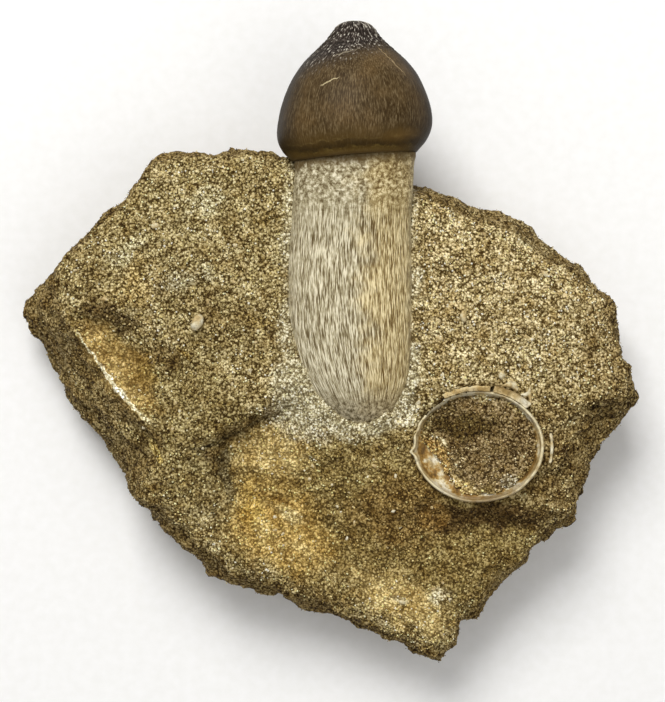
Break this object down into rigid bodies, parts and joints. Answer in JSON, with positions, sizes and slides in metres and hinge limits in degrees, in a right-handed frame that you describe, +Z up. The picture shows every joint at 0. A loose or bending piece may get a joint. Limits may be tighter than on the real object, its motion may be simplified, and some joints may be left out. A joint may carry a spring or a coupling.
{
  "type": "fossil mosasaur tooth in matrix",
  "caption": "Swollen crushing tooth with its long fibrous root, lying in a broken block of coarse golden-brown sandstone beside a small ring-shaped fish vertebra.",
  "frame": {"origin": "on the flat underside of the block, below the middle of the root", "axes": "+Z up, away from the surface that the block lies on; +Y along the tooth from the root's tip to the crown; +X to the right seen from above"},
  "size_m": [0.1153, 0.1191, 0.0358],
  "materials": {
    "sandstone": "coarse, broken, glittering grains",
    "root_bone": "fibrous, matt to satin",
    "enamel": "glossy, finely ribbed",
    "pale_bone": "satin, cracked"
  },
  "bodies": {
    "root": {"stone": "sandstone", "root": "root_bone", "crown": "enamel", "vertebra": "pale_bone", "vertebra_fill": "sandstone", "flake_top": "pale_bone", "flake_left": "pale_bone", "flake_right": "pale_bone", "pebble_left": "pale_bone", "pebble_right": "pale_bone"}
  },
  "joints": []
}
